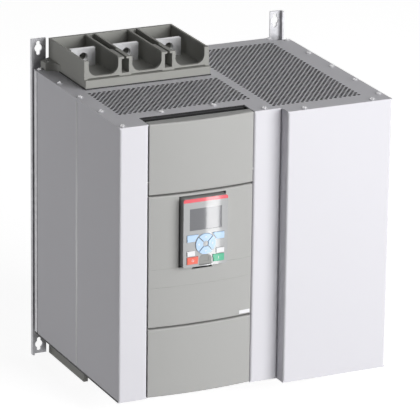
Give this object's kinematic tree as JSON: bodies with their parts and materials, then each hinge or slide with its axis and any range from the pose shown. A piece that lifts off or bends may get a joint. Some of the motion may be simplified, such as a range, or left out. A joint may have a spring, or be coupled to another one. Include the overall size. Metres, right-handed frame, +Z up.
{
  "type": "soft starter",
  "caption": "Wall-mounted motor soft starter: folded sheet-metal case with perforated covers, crowned moulded front, pull-out keypad, terminal shrouds and a bypass module at its side.",
  "frame": {"origin": "centre of the back plate's wall face", "axes": "+X to the right seen from the front, +Y towards the wall, +Z up"},
  "size_m": [0.435, 0.3715, 0.5165],
  "materials": {
    "case_sheet": "satin light grey sheet",
    "zinc_steel": "galvanised steel",
    "screw_zinc": "bright zinc",
    "moulded_grey": "fine-grained grey moulding",
    "shroud_plastic": "matt olive-grey moulding",
    "black_plastic": "black moulding",
    "tinned_bar": "tin-plated copper",
    "bus_copper": "bare copper",
    "sink_aluminium": "extruded aluminium",
    "circuit_board": "green solder mask",
    "terminal_green": "green moulding",
    "keypad_shell": "dark grey moulding",
    "keypad_silver": "silver-grey front film",
    "keypad_red": "red front film",
    "screen_glass": "dark grey screen window",
    "key_blue": "pale blue key",
    "key_white": "white key",
    "key_red": "red key",
    "key_green": "green key",
    "flap_grey": "grey flap"
  },
  "bodies": {
    "case": {"back_plate": "zinc_steel", "spacer_rails": "zinc_steel", "rear_frame": "zinc_steel", "left_side_panel": "case_sheet", "front_strip": "case_sheet", "module_cover": "case_sheet", "top_cover": "case_sheet", "bottom_cover": "case_sheet", "top_screws": "screw_zinc", "bottom_screws": "screw_zinc", "shroud_screws": "screw_zinc", "front_carrier": "black_plastic", "middle_front_cover": "moulded_grey", "lower_front_cover": "moulded_grey", "line_shroud": "shroud_plastic", "load_shroud": "shroud_plastic", "contactor_bracket": "zinc_steel", "bypass_contactor": "black_plastic", "line_links": "bus_copper", "load_links": "bus_copper", "fan_frame_1": "black_plastic", "fan_frame_2": "black_plastic", "control_board": "circuit_board", "control_terminals": "terminal_green", "line_bar_1": "tinned_bar", "load_bar_1": "tinned_bar", "heatsink_1": "sink_aluminium", "thyristor_module_1": "black_plastic", "current_transformer_1": "black_plastic", "line_bar_2": "tinned_bar", "load_bar_2": "tinned_bar", "heatsink_2": "sink_aluminium", "thyristor_module_2": "black_plastic", "current_transformer_2": "black_plastic", "line_bar_3": "tinned_bar", "load_bar_3": "tinned_bar", "heatsink_3": "sink_aluminium", "thyristor_module_3": "black_plastic", "current_transformer_3": "black_plastic"},
    "upper_cover": {"upper_front_cover": "moulded_grey"},
    "keypad": {"keypad_housing": "keypad_shell", "keypad_fascia": "keypad_silver", "keypad_band": "keypad_red", "keypad_window": "screen_glass", "keypad_board": "circuit_board"},
    "softkey_left_body": {"softkey_left": "key_blue"},
    "softkey_right_body": {"softkey_right": "key_blue"},
    "key_up_body": {"key_up": "key_blue"},
    "key_down_body": {"key_down": "key_blue"},
    "key_left_body": {"key_left": "key_blue"},
    "key_right_body": {"key_right": "key_blue"},
    "info_key_body": {"info_key": "key_white"},
    "remote_key_body": {"remote_key": "key_white"},
    "stop_key_body": {"stop_key": "key_red"},
    "start_key_body": {"start_key": "key_green"},
    "usb_flap_body": {"usb_flap": "flap_grey"},
    "fan_1": {"fan_rotor_1": "black_plastic"},
    "fan_2": {"fan_rotor_2": "black_plastic"}
  },
  "joints": [
    {"name": "upper_cover_hinge", "type": "hinge", "parent": "case", "child": "upper_cover", "pos_m": [-0.086, -0.3465, 0.1265], "axis": [1, 0, 0], "range_deg": [0, 85]},
    {"name": "keypad_pull", "type": "slide", "parent": "case", "child": "keypad", "axis": [0, -1, 0], "range_m": [0, 0.04]},
    {"name": "softkey_left_press", "type": "slide", "parent": "keypad", "child": "softkey_left_body", "axis": [0, 1, 0], "range_m": [0, 0.0008], "stiffness_N_per_m": 2500},
    {"name": "softkey_right_press", "type": "slide", "parent": "keypad", "child": "softkey_right_body", "axis": [0, 1, 0], "range_m": [0, 0.0008], "stiffness_N_per_m": 2500},
    {"name": "key_up_press", "type": "slide", "parent": "keypad", "child": "key_up_body", "axis": [0, 1, 0], "range_m": [0, 0.0008], "stiffness_N_per_m": 2500},
    {"name": "key_down_press", "type": "slide", "parent": "keypad", "child": "key_down_body", "axis": [0, 1, 0], "range_m": [0, 0.0008], "stiffness_N_per_m": 2500},
    {"name": "key_left_press", "type": "slide", "parent": "keypad", "child": "key_left_body", "axis": [0, 1, 0], "range_m": [0, 0.0008], "stiffness_N_per_m": 2500},
    {"name": "key_right_press", "type": "slide", "parent": "keypad", "child": "key_right_body", "axis": [0, 1, 0], "range_m": [0, 0.0008], "stiffness_N_per_m": 2500},
    {"name": "info_key_press", "type": "slide", "parent": "keypad", "child": "info_key_body", "axis": [0, 1, 0], "range_m": [0, 0.0008], "stiffness_N_per_m": 2500},
    {"name": "remote_key_press", "type": "slide", "parent": "keypad", "child": "remote_key_body", "axis": [0, 1, 0], "range_m": [0, 0.0008], "stiffness_N_per_m": 2500},
    {"name": "stop_key_press", "type": "slide", "parent": "keypad", "child": "stop_key_body", "axis": [0, 1, 0], "range_m": [0, 0.0008], "stiffness_N_per_m": 2500},
    {"name": "start_key_press", "type": "slide", "parent": "keypad", "child": "start_key_body", "axis": [0, 1, 0], "range_m": [0, 0.0008], "stiffness_N_per_m": 2500},
    {"name": "usb_flap_hinge", "type": "hinge", "parent": "keypad", "child": "usb_flap_body", "pos_m": [-0.0855, -0.3653, -0.0046], "axis": [1, 0, 0], "range_deg": [0, 90]},
    {"name": "fan_1_spin", "type": "hinge", "parent": "case", "child": "fan_1", "pos_m": [-0.141, -0.142, -0.19], "axis": [0, 0, 1], "continuous": true},
    {"name": "fan_2_spin", "type": "hinge", "parent": "case", "child": "fan_2", "pos_m": [-0.02, -0.142, -0.19], "axis": [0, 0, 1], "continuous": true}
  ]
}
